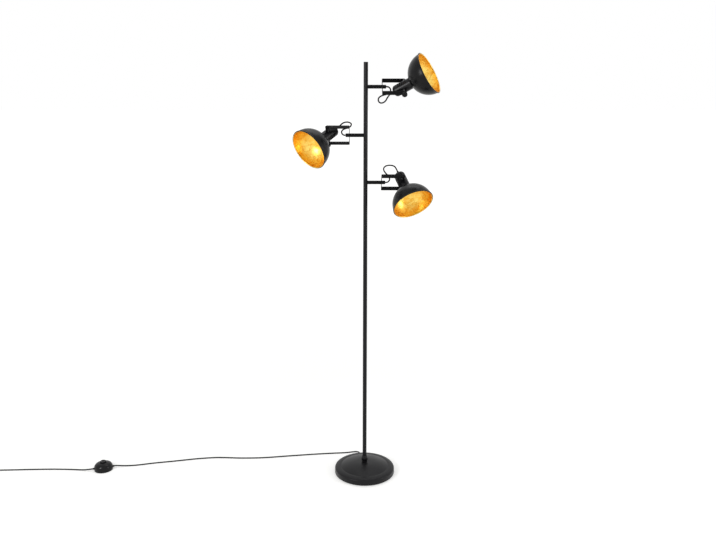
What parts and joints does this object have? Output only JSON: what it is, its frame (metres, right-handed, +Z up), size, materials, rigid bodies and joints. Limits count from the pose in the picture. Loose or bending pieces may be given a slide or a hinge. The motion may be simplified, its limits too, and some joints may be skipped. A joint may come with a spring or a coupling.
{
  "type": "spot floor lamp",
  "caption": "Slim pole floor lamp on a heavy round base, with adjustable dome spots on short arms along the pole and a foot switch on the cord.",
  "frame": {"origin": "on the floor at the pole's axis, at the centre of the base's sole pad", "axes": "+Z up along the pole, +X towards the top arm, -Y towards the viewer of the picture"},
  "size_m": [1.7991, 0.2818, 1.5796],
  "materials": {
    "pole_black": "matte black powder coat on steel",
    "base_black": "satin black powder coat on spun steel",
    "shade_black": "spun aluminium, satin black outside and gold leaf inside",
    "weight_iron": "raw casting, hidden under the cover",
    "zinc_steel": "zinc-plated steel",
    "black_steel": "blackened steel",
    "phenolic": "moulded black thermoset",
    "terminal_plastic": "moulded nylon",
    "brass_contact": "stamped brass",
    "black_pvc": "round flexible cable jacket",
    "switch_plastic": "satin moulded black plastic",
    "pad_foam": "dense black foam pad",
    "tie_band": "hook-and-loop band",
    "gold_leaf": "beaten gold-coloured metal leaf, the lining of the shades"
  },
  "bodies": {
    "stand": {"base_cover": "base_black", "base_weight": "weight_iron", "base_pad": "pad_foam", "base_ferrule": "pole_black", "foot_stud": "zinc_steel", "foot_nut": "zinc_steel", "connector_block": "terminal_plastic", "cord_gland": "black_pvc", "pole_lower": "pole_black", "pole_middle": "pole_black", "pole_upper": "pole_black", "pole_couplers": "zinc_steel", "pole_cap": "pole_black", "inner_leads": "black_pvc", "arm_1": "pole_black", "arm_2": "pole_black", "arm_3": "pole_black", "arm_nuts": "black_steel", "mains_cord": "black_pvc", "switch_base": "switch_plastic", "switch_cover": "switch_plastic", "switch_spring": "zinc_steel", "switch_contacts": "brass_contact", "switch_screws": "zinc_steel", "plug_cord": "black_pvc", "cord_coil": "black_pvc", "cord_tie": "tie_band", "plug_body": "switch_plastic", "plug_pins": "brass_contact"},
    "yoke_1": {"yoke_1": "pole_black", "spot_cable_1": "black_pvc"},
    "spot_1": {"neck_1": "pole_black", "shade_1": "shade_black", "lampholder_1": "phenolic", "holder_contacts_1": "brass_contact", "holder_lead_1": "black_pvc", "cable_gland_1": "switch_plastic", "pivot_screw_1": "black_steel", "tilt_knob_1": "phenolic"},
    "yoke_2": {"yoke_2": "pole_black", "spot_cable_2": "black_pvc"},
    "spot_2": {"neck_2": "pole_black", "shade_2": "shade_black", "lampholder_2": "phenolic", "holder_contacts_2": "brass_contact", "holder_lead_2": "black_pvc", "cable_gland_2": "switch_plastic", "pivot_screw_2": "black_steel", "tilt_knob_2": "phenolic"},
    "yoke_3": {"yoke_3": "pole_black", "spot_cable_3": "black_pvc"},
    "spot_3": {"neck_3": "pole_black", "shade_3": "shade_black", "lampholder_3": "phenolic", "holder_contacts_3": "brass_contact", "holder_lead_3": "black_pvc", "cable_gland_3": "switch_plastic", "pivot_screw_3": "black_steel", "tilt_knob_3": "phenolic"},
    "foot_button": {"switch_button": "switch_plastic"}
  },
  "joints": [
    {"name": "swivel_1", "type": "hinge", "parent": "stand", "child": "yoke_1", "pos_m": [0.057, 0, 1.467], "axis": [1, 0, 0], "range_deg": [-109, 221]},
    {"name": "tilt_1", "type": "hinge", "parent": "yoke_1", "child": "spot_1", "pos_m": [0.133, 0, 1.467], "axis": [0, 0.829, 0.5592], "range_deg": [-56, 124], "deforming": ["spot_cable_1"]},
    {"name": "swivel_2", "type": "hinge", "parent": "stand", "child": "yoke_2", "pos_m": [-0.057, 0, 1.301], "axis": [-1, 0, 0], "range_deg": [-129, 201]},
    {"name": "tilt_2", "type": "hinge", "parent": "yoke_2", "child": "spot_2", "pos_m": [-0.133, 0, 1.301], "axis": [0, -0.5878, 0.809], "range_deg": [-140, 40], "deforming": ["spot_cable_2"]},
    {"name": "swivel_3", "type": "hinge", "parent": "stand", "child": "yoke_3", "pos_m": [0.057, 0, 1.135], "axis": [1, 0, 0], "range_deg": [-211, 119]},
    {"name": "tilt_3", "type": "hinge", "parent": "yoke_3", "child": "spot_3", "pos_m": [0.133, 0, 1.135], "axis": [0, -0.7193, 0.6947], "range_deg": [-20, 160], "deforming": ["spot_cable_3"]},
    {"name": "button_press", "type": "slide", "parent": "stand", "child": "foot_button", "axis": [0, 0, -1], "range_m": [0, 0.003], "stiffness_N_per_m": 900, "springref_m": -0.002, "deforming": ["switch_spring"]}
  ]
}
